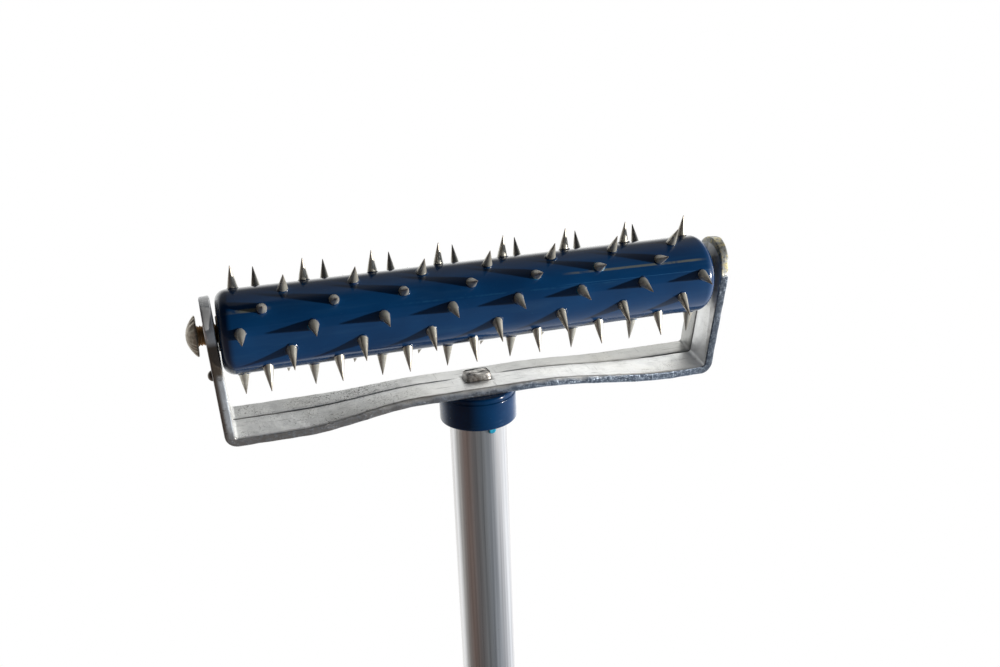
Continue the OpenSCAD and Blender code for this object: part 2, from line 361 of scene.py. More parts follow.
def bar_steel(name):
    """Zinc-plated flat bar: pale faces, painted lighter inside than outside as painted light and shade, a
    hammered front edge painted dark as a painted reflection, and a brown band of painted shade beside it.
    """
    k = Mat(name, Metallic=0.72, IOR=2.0)
    y, z = k.sub(k.axis(1), AX.y), k.sub(k.axis(2), AX.z)
    c, s = math.cos(TILT), math.sin(TILT)
    # places on the bar: across it from front to back, up along the arms, and how far forward
    across = k.add(k.mul(y, c), k.mul(z, s))
    up = k.sub(k.mul(z, c), k.mul(y, s))
    front = k.mul(across, -1.0)
    x = k.axis(0)
    cloud = k.noise(45, 5, 0.6)
    color = k.mix(cloud, (0.74, 0.75, 0.75), (0.93, 0.93, 0.91))
    # dull grey patches of old zinc
    patch = k.ramp(k.noise(130, 4, 0.6, distort=0.6), [(0.46, 0.0), (0.66, 1.0)])
    color = k.mix(k.mul(patch, 0.30), color, (0.50, 0.515, 0.52))
    # the band behind the pressed line is painted darker, more so towards the right
    back = k.span(across, 2.2 * MM, 2.7 * MM)
    color = k.mix(k.mul(back, k.span(x, -0.015, 0.035, 0.20, 0.88)), color, (0.46, 0.46, 0.44))
    # dark grime in small clustered pits, thickest on the left half of the base
    pits = k.ramp(k.noise(900, 5, 0.75, distort=1.2), [(0.555, 0.0), (0.615, 1.0)])
    left = k.span(x, -0.02, -0.05)
    where = k.ramp(k.noise(48, 3, 0.5), [(0.47, 0.0), (0.60, 1.0)])
    where = k.mul(where, k.add(0.30, k.mul(left, 0.70)))
    nest = k.mul(k.span(k.math("ABSOLUTE", k.add(x, 0.056)), 0.010, 0.030, 1.0, 0.0),
                 k.span(across, -1.0 * MM, 3.0 * MM))
    where = k.math("MAXIMUM", where,
                   k.mul(nest, k.ramp(k.noise(110, 3, 0.6), [(0.38, 0.0), (0.52, 1.0)])))
    grime = k.mul(pits, where)
    flakes = k.ramp(k.noise(560, 5, 0.8, distort=1.4), [(0.545, 0.0), (0.590, 1.0)])
    grime = k.math("MAXIMUM", grime, k.mul(k.mul(flakes, nest), 0.80))
    color = k.mix(grime, color, (0.045, 0.042, 0.036))
    # hair scratches, mostly along the bar
    scratch = k.ramp(k.noise(1300, 2, 0.5, k.scaled(0.06, 1, 1, rot=(0, 0, 0.12))),
                     [(0.62, 0.0), (0.68, 1.0)])
    cross = k.ramp(k.noise(1100, 2, 0.5, k.scaled(1, 0.08, 1, rot=(0, 0.2, 0.9))),
                   [(0.66, 0.0), (0.71, 1.0)])
    marks = k.math("MAXIMUM", scratch, k.mul(cross, 0.7))
    color = k.mix(k.mul(marks, 0.40), color, (0.16, 0.16, 0.155))
    # a little yellow passivation
    warm = k.ramp(k.noise(24, 3), [(0.50, 0.0), (0.75, 1.0)])
    color = k.mix(k.mul(warm, 0.25), color, (0.60, 0.56, 0.42))
    # pressed line, painted dark as the shade in its crease
    line = k.mul(k.span(k.math("ABSOLUTE", k.sub(across, 2.25 * MM)),
                        0.10 * MM, 0.42 * MM, 1.0, 0.0), k.span(up, -12 * MM, -17 * MM))
    line = k.mul(line, k.span(k.math("ABSOLUTE", x), 8 * MM, 14 * MM))
    line = k.mul(line, k.ramp(k.noise(50, 2), [(0.30, 0.35), (0.50, 0.9)]))
    color = k.mix(line, color, (0.07, 0.068, 0.062))
    # a brown band of painted shade where the inner faces meet the front edge, widened up the right arm into the
    # painted shade behind the roller's end
    wide = k.mul(k.mul(k.span(up, -40 * MM, -14 * MM), k.span(x, 0.08, 0.10)), 3.0 * MM)
    brown = k.mul(k.span(k.add(front, wide), 10.9 * MM, 11.5 * MM),
                  k.span(front, 12.0 * MM, 12.3 * MM, 1.0, 0.0))
    brown = k.mul(brown, k.ramp(k.noise(70, 3), [(0.36, 0.35), (0.6, 0.9)]))
    arms = k.span(up, -39 * MM, -34 * MM)
    brown = k.mul(brown, k.add(0.55, k.mul(arms, 0.45)))
    color = k.mix(brown, color, (0.075, 0.058, 0.042))
    # outer faces painted darker than the inner ones as painted shade; the right arm's inner face is painted
    # brightest, a painted reflection of the bright floor
    deep = k.sub(k.math("ABSOLUTE", x),
                 k.add(k.mul(up, math.tan(SPLAY)), ARM_IN))
    bright = k.mul(k.span(x, 0.098, 0.103), k.span(across, 3.0 * MM, 1.5 * MM))
    color = k.mix(k.mul(bright, k.ramp(k.noise(90, 3), [(0.36, 0.25), (0.60, 0.75)])),
                  color, (0.97, 0.98, 0.98))
    color = k.mix(k.mul(k.span(deep, 2.8 * MM, 3.7 * MM), 0.85), color,
                  k.mix(cloud, (0.27, 0.275, 0.28), (0.42, 0.42, 0.41)))
    # front edge, rolled and hammered; its dark blue-grey is a painted reflection of the dark surroundings in
    # front, under real hammered flecks and pits
    edge = k.span(front, 11.95 * MM, 12.3 * MM)
    fleck = k.ramp(k.noise(680, 4, 0.7), [(0.46, 0.0), (0.66, 1.0)])
    fleck = k.mul(fleck, k.span(x, -0.02, 0.05, 0.45, 1.0))
    edge_color = k.mix(k.span(x, -0.045, 0.02), (0.30, 0.285, 0.275), (0.125, 0.160, 0.215))
    edge_color = k.mix(fleck, edge_color, (0.44, 0.51, 0.60))
    dash = k.ramp(k.cells(430, k.scaled(0.45, 1, 1)), [(0.05, 1.0), (0.22, 0.0)])
    edge_color = k.mix(k.mul(dash, 0.5), edge_color, (0.07, 0.08, 0.10))
    # the left arm's edge: dark on its outer side, a painted highlight along its inner side, a painted brown
    # reflection by the axle, painted pale above it as a highlight, with small pits
    left_edge_sheen_and_pits = k.mix(k.span(deep, 2.9 * MM, 1.9 * MM, 0.0, 1.0), (0.20, 0.17, 0.15), (0.74, 0.78, 0.82))
    left_edge_sheen_and_pits = k.mix(k.span(up, -15 * MM, -11 * MM), left_edge_sheen_and_pits, (0.15, 0.12, 0.09))
    left_edge_sheen_and_pits = k.mix(k.span(up, 1.0 * MM, 3.5 * MM), left_edge_sheen_and_pits, (0.86, 0.86, 0.84))
    left_edge_sheen_and_pits = k.mix(k.mul(dash, 0.5), left_edge_sheen_and_pits, (0.12, 0.11, 0.10))
    # the right arm's edge is painted darker still, more of the painted dark reflection
    edge_color = k.mix(k.mul(k.span(x, 0.100, 0.106), 0.62), edge_color, (0.045, 0.055, 0.07))
    on_left_arm = k.mul(k.span(x, -0.100, -0.104), k.span(up, -43 * MM, -36 * MM))
    edge_color = k.mix(on_left_arm, edge_color, left_edge_sheen_and_pits)
    color = k.mix(edge, color, edge_color)
    # darkened in a ragged ring round the riveted-over tenon head
    dx = k.sub(k.math("ABSOLUTE", x), 5.7 * MM)
    dy = k.sub(k.math("ABSOLUTE", k.axis(1)), 3.7 * MM)
    ring = k.mul(k.span(k.math("MAXIMUM", dx, dy), 0.5 * MM, 1.6 * MM, 1.0, 0.0),
                 k.span(up, -30 * MM, -31 * MM))
    ring = k.mul(ring, k.ramp(k.noise(420, 4, 0.7), [(0.35, 0.35), (0.55, 1.0)]))
    color = k.mix(k.mul(ring, 0.85), color, (0.03, 0.028, 0.025))
    # rounded ends of the arms, painted bright as a highlight where they face up: yellowish with dark specks on
    # the right arm, near white on the left
    over = k.sub(up, 1.0 * MM)
    far = k.length(across, over)
    tip = k.mul(k.span(far, 11.9 * MM, 12.5 * MM), k.span(up, 2.5 * MM, 5.0 * MM))
    tip_color = k.mix(k.ramp(k.noise(420, 4, 0.75), [(0.46, 0.0), (0.58, 1.0)]),
                      (0.33, 0.34, 0.33), (0.56, 0.49, 0.27))
    tip_color = k.mix(k.ramp(k.noise(900, 4, 0.7), [(0.52, 0.0), (0.60, 0.8)]),
                      tip_color, (0.10, 0.10, 0.095))
    tip_color = k.mix(k.span(x, 0.0, 0.02), (0.92, 0.93, 0.94), tip_color)
    color = k.mix(tip, color, tip_color)
    rough = k.add(k.lerp(k.noise(160, 4), 0.36, 0.54),
                  k.add(k.mul(grime, 0.3), k.mul(edge, -0.10)))
    dents = k.bump(k.noise(330, 2, 0.5), 0.40, 0.0004)
    hammer = k.mul(edge, k.sub(fleck, dash))
    nb = k.bump(k.sub(k.noise(1700, 3), grime), 0.35, 0.0001, dents)
    nb = k.bump(hammer, 0.45, 0.00025, nb)
    nb = k.bump(k.mul(k.math("MAXIMUM", marks, line), -1.0), 0.25, 0.00008, nb)
    return k.out(color, rough, nb)


def worn_steel(name, light, dark, lump=0.35, scale=1.0, gold=None):
    """Lumpy weathered steel, turning golden past x = gold if that is given."""
    k = Mat(name, Metallic=0.8, IOR=2.0)
    color = k.mix(k.ramp(k.noise(240 * scale, 5, 0.65, distort=0.5), [(0.36, 0.0), (0.66, 1.0)]),
                  dark, light)
    edge = k.ramp(k.cells(520 * scale), [(0.0, 1.0), (0.30, 0.0)])
    color = k.mix(k.mul(edge, 0.5), color, (0.05, 0.042, 0.035))
    if gold:
        neck = k.mul(k.span(k.axis(0), gold, gold + 0.6 * MM),
                     k.ramp(k.noise(300, 3), [(0.30, 0.6), (0.55, 1.0)]))
        color = k.mix(neck, color, (0.74, 0.46, 0.20))
    rough = k.lerp(k.noise(500, 4), 0.34, 0.62)
    nb = k.bump(k.noise(480 * scale, 4, 0.6), lump, 0.0004)
    nb = k.bump(k.noise(2400, 2), 0.25, 0.00008, nb)
    return k.out(color, rough, nb)


def tube_alloy(name):
    k = Mat(name, Metallic=0.95, IOR=1.8)
    lines = k.noise(950, 3, 0.6, k.scaled(1, 1, 0.008))
    broad = k.noise(210, 2, 0.5, k.scaled(1, 1, 0.006))
    color = k.mix(k.ramp(lines, [(0.30, 0.0), (0.66, 1.0)]), (0.52, 0.52, 0.525), (0.84, 0.84, 0.84))
    color = k.mix(k.ramp(broad, [(0.42, 0.0), (0.70, 0.45)]), color, (0.40, 0.37, 0.36))
    spot = k.ramp(k.noise(800, 4, 0.7), [(0.66, 0.0), (0.72, 1.0)])
    color = k.mix(k.mul(spot, 0.35), color, (0.25, 0.23, 0.22))
    rough = k.lerp(lines, 0.22, 0.38)
    nb = k.bump(lines, 0.30, 0.0001)
    nb = k.bump(k.noise(60, 2, 0.5, k.scaled(1, 1, 0.15)), 0.15, 0.0003, nb)
    return k.out(color, rough, nb)


def flash_plastic(name):
    k = Mat(name, IOR=1.5, Coat_Weight=0.2)
    where = k.ramp(k.noise(70, 2), [(0.54, 0.0), (0.60, 1.0)])
    color = k.mix(where, (0.004, 0.03, 0.11), (0.01, 0.22, 0.42))
    nb = k.bump(k.noise(2000, 2), 0.3, 0.0001)
    return k.out(color, k.lerp(k.noise(300, 2), 0.16, 0.34), nb)


def bead_plastic(name):
    k = Mat(name, IOR=1.5, Coat_Weight=0.4)
    color = k.mix(k.noise(900, 3), (0.005, 0.20, 0.36), (0.015, 0.42, 0.62))
    return k.out(color, k.lerp(k.noise(500, 2), 0.12, 0.3), k.bump(k.noise(1800, 2), 0.4, 0.0001))


def soft_black(name, grain=1.0, tone=(0.018, 0.018, 0.020)):
    k = Mat(name, IOR=1.48)
    color = k.mix(k.noise(120, 4), tone, tuple(c * 2.0 for c in tone))
    dust = k.ramp(k.noise(1200, 3), [(0.62, 0.0), (0.72, 1.0)])
    color = k.mix(k.mul(dust, 0.25), color, (0.10, 0.10, 0.10))
    rough = k.lerp(k.noise(260, 3), 0.48, 0.72)
    nb = k.bump(k.cells(1500), 0.35 * grain, 0.0001)
    return k.out(color, rough, nb)


M_BLUE = blue_plastic("moulded_blue", (0.0035, 0.047, 0.150), (0.003, 0.034, 0.112), marks=barrel_marks_and_reflections)
M_HUB = blue_plastic("hub_blue", (0.003, 0.022, 0.070), (0.002, 0.014, 0.045))
M_RIM = blue_plastic("rim_blue", (0.003, 0.035, 0.110), (0.002, 0.025, 0.085))
M_COLLAR = blue_plastic("collar_blue", (0.0005, 0.044, 0.145), (0.0005, 0.022, 0.075), 0.06, 0.26, 0.15)
M_FLASH = flash_plastic("flash_blue")
M_BEAD = bead_plastic("flash_bead")
M_SPIKE = steel_point("spike_steel")
M_BAR = bar_steel("yoke_steel")
M_AXLE = worn_steel("axle_steel", (0.70, 0.64, 0.53), (0.40, 0.34, 0.25), 0.45, 0.9)
M_RIVET = worn_steel("rivet_steel", (0.30, 0.27, 0.23), (0.10, 0.085, 0.07))
M_SPIGOT = worn_steel("spigot_steel", (0.74, 0.72, 0.68), (0.16, 0.14, 0.125), 0.9, 0.9)
M_TUBE = tube_alloy("tube_alloy")
M_GRIP = soft_black("grip_rubber")
M_CAP = soft_black("cap_plastic", 0.5, (0.022, 0.022, 0.024))


def piece(name, vf, mat, body, nodes=(), sharp=40):
    ob = make(name, vf[0], vf[1], sharp_deg=sharp)
    ob.data.materials.append(mat)
    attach(ob, body)
    if nodes:
        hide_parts(*nodes)
    return ob


# ---------- roller ----------
rng = random.Random(7)
EDGE = 5.0 * MM                                  # rounding of the roller's ends
BORE = 10.0 * MM                                 # radius of its bore, which the hubs fill


def shell_profile():
    """Closed ring profile (radius, along): bore, end faces, rounded shoulders, long barrel."""
    h, r = ROLLER_HALF, ROLLER_R
    p = [(BORE, -h + 0.4 * MM), (BORE + 0.4 * MM, -h), (r - EDGE - 0.8 * MM, -h)]
    p += arc(r - EDGE, -h + EDGE, EDGE, -90, 0, 12)
    n = 60
    p += [(r, -h + EDGE + (2 * h - 2 * EDGE) * i / n) for i in range(1, n)]
    p += arc(r - EDGE, h - EDGE, EDGE, 0, 90, 12)
    p += [(r - EDGE - 0.8 * MM, h), (BORE + 0.4 * MM, h), (BORE, h - 0.4 * MM)]
    return p


def barrel_wobble(r, h, a):
    """Slight moulding waviness and a fine raised parting line along the barrel."""
    d = 0.02 * MM * math.sin(3 * a + 40 * h) + 0.015 * MM * math.sin(2 * a - 95 * h)
    out = r
    if r > ROLLER_R - 0.2 * MM:
        for seam in (SEAM, SEAM + math.pi):
            off = math.atan2(math.sin(a - seam), math.cos(a - seam))
            d += 0.05 * MM * math.exp(-(off / 0.012) ** 2)
        out = r + d
    return out, h


# the profile is turned about Z and laid along X: angle 0 points down, -90 degrees to the front
SEAM = math.radians(-90 - 21.6)
piece("roller_barrel", placed(turned(shell_profile(), 360, True, barrel_wobble), at(*ROLL) @ ALONG_X),
      M_BLUE, "roller", ["roller_shell"], 35)


def hub_piece(name, node, side):
    lo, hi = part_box(node)
    inn, out = sorted((abs(lo.x - ROLL.x), abs(hi.x - ROLL.x)))
    bore = 4.05 * MM
    p = [(bore, inn), (BORE - 0.3 * MM, inn), (BORE, inn + 0.3 * MM), (BORE, out - 0.3 * MM),
         (BORE - 0.3 * MM, out), (8.9 * MM, out), (8.6 * MM, out - 0.4 * MM),
         (7.9 * MM, out - 0.4 * MM), (7.6 * MM, out), (5.2 * MM, out), (4.7 * MM, out - 0.4 * MM),
         (bore, out - 0.6 * MM)]
    m = at(*ROLL) @ (ALONG_X if side > 0 else Matrix.Rotation(-math.pi / 2, 4, "Y"))
    piece(name, placed(turned(p, 96, True), m), M_HUB, "roller", [node], 30)


hub_piece("hub_left", "left_hub", -1)
hub_piece("hub_right", "right_hub", 1)

# spikes, row by row where the frame has them
ROWS = 12
STEP = 360 / ROWS
START = 14.0                                     # degrees of the first row before the top
LEAN = math.radians(23.4)
PITCH = 27.75 * MM
SPIKE_R, SPIKE_H = 2.1 * MM, 9.9 * MM
FOOT = 2.6 * MM                                  # how far a spike goes down into the shell
FLASH_SHARE = 0.22                               # part of the spikes with a bright plastic rim


def spike_mesh(length, base):
    """A drawn steel point: plain foot, straight flanks with a trace of belly, blunt tip."""
    p = [(0, -FOOT), (base, -FOOT), (base, 0.0)]
    n = 9
    for i in range(1, n):
        u = i / n
        p.append((base * (1 - u) * (1 + 0.06 * math.sin(math.pi * u)) + 0.12 * MM * u, length * u))
    p += [(0.13 * MM, length - 0.10 * MM), (0.07 * MM, length - 0.02 * MM), (0, length)]
    ph = rng.uniform(0, 6.28)
    return turned(p, 28, False,
                  lambda r, h, a: (r * (1 + 0.014 * math.sin(2 * a + ph) + 0.008 * math.sin(7 * a)), h))


def rim_mesh(base):
    """The little collar of plastic pushed up round a spike's foot."""
    wide = rng.uniform(0.22, 0.55) * MM
    tall = rng.uniform(0.10, 0.30) * MM
    ph = [rng.uniform(0, 6.28) for _ in range(3)]

    def wob(r, h, a):
        s = 1 + 0.35 * math.sin(2 * a + ph[0]) + 0.28 * math.sin(3 * a + ph[1]) + \
            0.15 * math.sin(7 * a + ph[2])
        s = max(0.15, s)
        if r > base + 0.01 * MM:
            r = base + (r - base) * s
        return r, (h if h < 0 else h * s)

    p = [(base * 0.96, -0.5 * MM), (base + wide * 1.2, -0.5 * MM), (base + wide, 0.02 * MM),
         (base + wide * 0.55, tall * 0.8), (base + wide * 0.15, tall), (base * 0.96, tall * 0.9)]
    return turned(p, 26, True, wob)


for i in range(ROWS):
    count = 8 if i % 3 == 0 else 7
    first = -3.5 * PITCH + (i % 3) * PITCH / 3
    ang = math.radians(90 - START - i * STEP)
    spikes, rims, flashes = [], [], []
    for kx in range(count):
        tilt = Matrix.Rotation(math.radians(rng.uniform(-1.6, 1.6)), 4, "Y") @ \
            Matrix.Rotation(math.radians(rng.uniform(-1.2, 1.2)), 4, "X")
        m = at(*ROLL) @ Matrix.Rotation(ang, 4, "X") @ at(first + kx * PITCH, 0, ROLLER_R)
        lean = Matrix.Rotation(LEAN, 4, "X")
        spikes.append(placed(spike_mesh(SPIKE_H * rng.uniform(0.97, 1.0), SPIKE_R), m @ lean @ tilt))
        (flashes if rng.random() < FLASH_SHARE else rims).append(placed(rim_mesh(SPIKE_R), m))
    piece(f"spikes_{i + 1:02d}", joined(spikes), M_SPIKE, "roller",
          [f"spike_row_{i + 1:02d}"], 50)
    piece(f"spike_rims_{i + 1:02d}", joined(rims), M_RIM, "roller", (), 60)
    if flashes:
        piece(f"spike_flash_{i + 1:02d}", joined(flashes), M_FLASH, "roller", (), 60)


# ---------- yoke: rounded flat bar swept round its path ----------
BAR_W, BAR_T = 25.0 * MM, 4.0 * MM
DROP = 42.6 * MM                                 # from the axle down to the inner face of the base
RISE = 4.1 * MM                                  # of the seat in the middle of the base
# where each edge of the base rises to the seat; the front one differs left and right
FRONT_FOOT, FRONT_TOP = (78.0 * MM, 92.0 * MM), (28.0 * MM, 23.0 * MM)
BACK_FOOT, BACK_TOP = 65.0 * MM, 20.0 * MM
BEND_IN = 1.5 * MM                               # inner radius of the two bends
ARM_TOP, ROUND_H = 0.8 * MM, 15.0 * MM           # where an arm's rounded end starts, and its height
BASE_MID = -DROP - BAR_T / 2
BEND_R = BEND_IN + BAR_T / 2
TURN = math.pi / 2 - SPLAY
BEND_END = BASE_MID + BEND_R * (1 - math.cos(TURN))


def arm_mid(z):
    return ARM_IN + BAR_T / 2 + z * math.tan(SPLAY)


CORNER_X = arm_mid(BEND_END) - BEND_R * math.sin(TURN)


def rises(x, side):
    """Rise of the base's front and back edges at a distance x from the middle, side 0 left, 1 right."""
    half = BAR_W / 2 * math.sin(TILT)
    foot, top = FRONT_FOOT[side], FRONT_TOP[side]
    return ((RISE + half) * smooth01((foot - x) / (foot - top)),
            (RISE - half) * smooth01((BACK_FOOT - x) / (BACK_FOOT - BACK_TOP)))


def half_stations(side):
    """(x, z, travel angle, twist, step height, width share), as on the right side."""
    out = []
    spots = [0.5 * MM] + [i * 3 * MM for i in range(1, 7)]
    spots += [BACK_TOP + (CORNER_X - BACK_TOP) * i / 60 for i in range(60)]
    for x in spots:
        f, b = rises(x, side)
        d = 0.5 * MM
        slope = (sum(rises(x + d, side)) - sum(rises(x - d, side))) / (4 * d)
        out.append((x, BASE_MID + (f + b) / 2, math.atan(slope), -math.asin((f - b) / BAR_W),
                    smooth01((x - 4 * MM) / (18 * MM)), 1.0))
    for i in range(13):
        a = TURN * i / 12
        out.append((CORNER_X + BEND_R * math.sin(a), BASE_MID + BEND_R * (1 - math.cos(a)),
                    a, 0.0, 1.0, 1.0))
    n = 34
    for i in range(1, n + 1):
        z = BEND_END + (ARM_TOP - BEND_END) * i / n
        out.append((arm_mid(z), z, TURN, 0.0, smooth01((-12 * MM - z) / (8 * MM)), 1.0))
    for i in range(1, 25):
        a = math.radians(88.5 * i / 24)
        z = ARM_TOP + ROUND_H * math.sin(a)
        out.append((arm_mid(z), z, TURN, 0.0, 0.0, math.cos(a)))
    return out


def bar_outline(step, share):
    """Section of the bar [(across, through)], corners eased, a shallow pressed step at the back."""
    hw, ht = BAR_W / 2 * share, BAR_T / 2
    r = min(0.9 * MM, hw * 0.6)
    h = 0.2 * MM * step
    e0, e1 = 2.05 * MM * share, 2.55 * MM * share
    groove = 0.28 * MM * step
    pts = []
    pts += arc(-hw + r, -ht + r, r, 180, 270, 5)
    pts += [(-hw * 0.5, -ht), (0, -ht), (hw * 0.5, -ht)]
    pts += arc(hw - r, -ht + r, r, 270, 360, 5)
    r2 = min(0.8 * MM, hw * 0.5)
    pts += arc(hw - r2, ht + h - r2, r2, 0, 90, 4)
    pts += [(hw * 0.60, ht + h), ((hw * 0.6 + e1) / 2, ht + h)]
    pts += [(e1 + 0.20 * MM * share, ht + h), (e1, ht + h - groove * 0.3)]
    pts += [(e0 + 0.25 * MM * share, ht - groove), (e0, ht - groove * 0.6)]
    pts += [(e0 - 0.35 * MM * share, ht), (-hw * 0.3, ht), (-hw * 0.6, ht)]
    r3 = min(0.6 * MM, hw * 0.5)
    pts += arc(-hw + r3, ht - r3, r3, 90, 180, 5)
    return pts


def place_section(s, q):
    x, z, direc, twist = s[:4]
    y = q[0] * math.cos(twist) - q[1] * math.sin(twist)
    n = q[0] * math.sin(twist) + q[1] * math.cos(twist)
    return Vector((x - n * math.sin(direc), y, z + n * math.cos(direc)))


UP = at(*AX) @ Matrix.Rotation(TILT, 4, "X")     # from the yoke's own upright pose to its lean


def yoke_mesh():
    left = [(-s[0], s[1], -s[2], s[3], s[4], s[5]) for s in reversed(half_stations(0))]
    st = left + half_stations(1)
    verts, faces = [], []
    for s in st:
        outline = bar_outline(s[4], s[5])
        count = len(outline)
        for j, q in enumerate(outline):
            v = place_section(s, q)
            # the bar was bent cold and knocked about: slight unevenness of its faces and edges
            w = 0.10 * MM * math.sin(v.x * 260 + v.z * 190 + q[0] * 200) * \
                math.sin(v.x * 97 - v.z * 143 + 1.3)
            w += 0.07 * MM * math.sin(v.x * 733 + v.z * 611 + q[0] * 310)
            if abs(q[0]) > BAR_W / 2 * s[5] - 1.3 * MM:
                v.y += w * (1 if q[0] > 0 else -1)
            elif q[1] > 0:
                v.z += w * 0.5 * math.cos(s[2])
            verts.append(UP @ v)
    for i in range(len(st) - 1):
        for j in range(count):
            j2 = (j + 1) % count
            faces.append((i * count + j, i * count + j2, (i + 1) * count + j2, (i + 1) * count + j))
    faces.append(tuple(range(count)))
    faces.append(tuple((len(st) - 1) * count + j for j in reversed(range(count))))
    return verts, faces


yoke = piece("yoke_bar", yoke_mesh(), M_BAR, "frame", ["yoke"], 32)

# ---------- axle, nut, spacers, rivet ----------
SHANK = 4.0 * MM
HEAD_R = (axle_hi.z - axle_lo.z) / 2
HEAD_X = axle_lo.x                               # outermost point of the dome
UNDER = HEAD_X + 4.4 * MM                        # underside of the head, where the neck starts
THREAD = 1.1 * MM                                # pitch of the thread


def axle_mesh():
    """Domed head with a thin uneven rim, threaded shank shown between head and arm."""
    p = [(0, HEAD_X)]
    for i in range(1, 12):
        u = i / 12
        p.append((HEAD_R * u * 0.985, HEAD_X + 3.6 * MM * u * u))
    p += [(HEAD_R, HEAD_X + 3.85 * MM), (HEAD_R - 0.15 * MM, UNDER - 0.15 * MM),
          (HEAD_R - 0.9 * MM, UNDER), (5.4 * MM, UNDER - 0.25 * MM), (4.5 * MM, UNDER)]
    # thread under the head
    x = UNDER + 0.2 * MM
    while x < UNDER + 8.5 * MM:
        p += [(SHANK, x), (SHANK, x + 0.25 * MM), (SHANK - 0.45 * MM, x + 0.62 * MM),
              (SHANK - 0.45 * MM, x + 0.72 * MM)]
        x += THREAD
    end = axle_hi.x
    p += [(SHANK, x), (SHANK, end - 0.5 * MM), (SHANK - 0.5 * MM, end), (0, end)]
    dents = [(rng.uniform(0, 6.28), rng.uniform(0.04, 0.12), rng.uniform(0.3, 0.9))
             for _ in range(26)]

    def wob(r, h, a):
        if h < UNDER + 0.05 * MM and r > 5 * MM:
            for c, w, d in dents:
                off = math.atan2(math.sin(a - c), math.cos(a - c))
                r -= d * MM * math.exp(-(off / w) ** 2) * smooth01((r - 5 * MM) / (3 * MM))
        return r, h

    return placed(turned(p, 120, False, wob), at(0, AX.y, AX.z) @ ALONG_X)


M_BOLT = worn_steel("bolt_steel", (0.62, 0.56, 0.46), (0.34, 0.29, 0.22), 0.6, 0.9, UNDER - 0.1 * MM)
piece("axle_bolt", axle_mesh(), M_BOLT, "frame", ["axle"], 35)


def hex_nut_mesh():
    af = (nut_hi.y - nut_lo.y) / 2
    x0, x1 = nut_lo.x, nut_hi.x
    segs = 96
    rings = []
    # (radius, along, 0), or (share of the hexagon, along, 1)
    prof = [(SHANK + 0.02 * MM, x0 + 0.3 * MM, 0), (SHANK + 0.5 * MM, x0, 0), (0.94, x0, 1),
            (1.0, x0 + 0.35 * MM, 1), (1.0, x1 - 0.45 * MM, 1), (0.90, x1, 1),
            (SHANK + 0.5 * MM, x1, 0), (SHANK + 0.02 * MM, x1 - 0.3 * MM, 0)]
    verts, faces = [], []
    for r, h, hexed in prof:
        ids = []
        for k in range(segs):
            a = 2 * math.pi * k / segs
            sect = (a + math.pi / 6) % (math.pi / 3) - math.pi / 6
            rad = min(af / math.cos(sect), af * 1.13) * r if hexed else r
            ids.append(len(verts))
            verts.append(Vector((rad * math.cos(a), rad * math.sin(a), h)))
        rings.append(ids)
    for a, b in zip(rings, rings[1:] + rings[:1]):
        for k in range(segs):
            k2 = (k + 1) % segs
            faces.append((a[k], b[k], b[k2], a[k2]))
    return placed((verts, faces), at(0, AX.y, AX.z) @ ALONG_X @ Matrix.Rotation(math.pi / 2, 4, "Z"))


piece("axle_nut_hex", hex_nut_mesh(), M_AXLE, "frame", ["axle_nut"], 25)


def washer(name, node):
    lo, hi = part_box(node)
    r = (hi.z - lo.z) / 2
    c = 0.25 * MM
    p = [(SHANK + 0.02 * MM, lo.x), (r - c, lo.x), (r, lo.x + c), (r, hi.x - c), (r - c, hi.x),
         (SHANK + 0.02 * MM, hi.x)]
    piece(name, placed(turned(p, 72, True), at(0, AX.y, AX.z) @ ALONG_X), M_AXLE, "frame",
          [node], 30)


washer("washer_left", "left_spacer")
washer("washer_right", "right_spacer")


def rivet_mesh():
    z, r, high, stem, deep = -18.8 * MM, 2.3 * MM, 2.15 * MM, 1.5 * MM, 3.6 * MM
    face = -(arm_mid(z) + BAR_T / 2)
    p = [(0, -high)] + [(r * math.sin(math.radians(a)), -high * math.cos(math.radians(a)))
                        for a in range(12, 85, 12)]
    p += [(r, -0.1 * MM), (r - 0.1 * MM, 0.06 * MM), (stem, 0.1 * MM), (stem, deep), (0, deep)]
    ph = rng.uniform(0, 6)
    return placed(turned(p, 40, False, lambda r_, h, a: (r_ * (1 + 0.05 * math.sin(2 * a + ph)), h)),
                  UP @ at(face, 0, z) @ ALONG_X)


piece("arm_rivet_dome", rivet_mesh(), M_RIVET, "frame", ["arm_rivet"], 40)

# ---------- spigot with its hammered-over head ----------


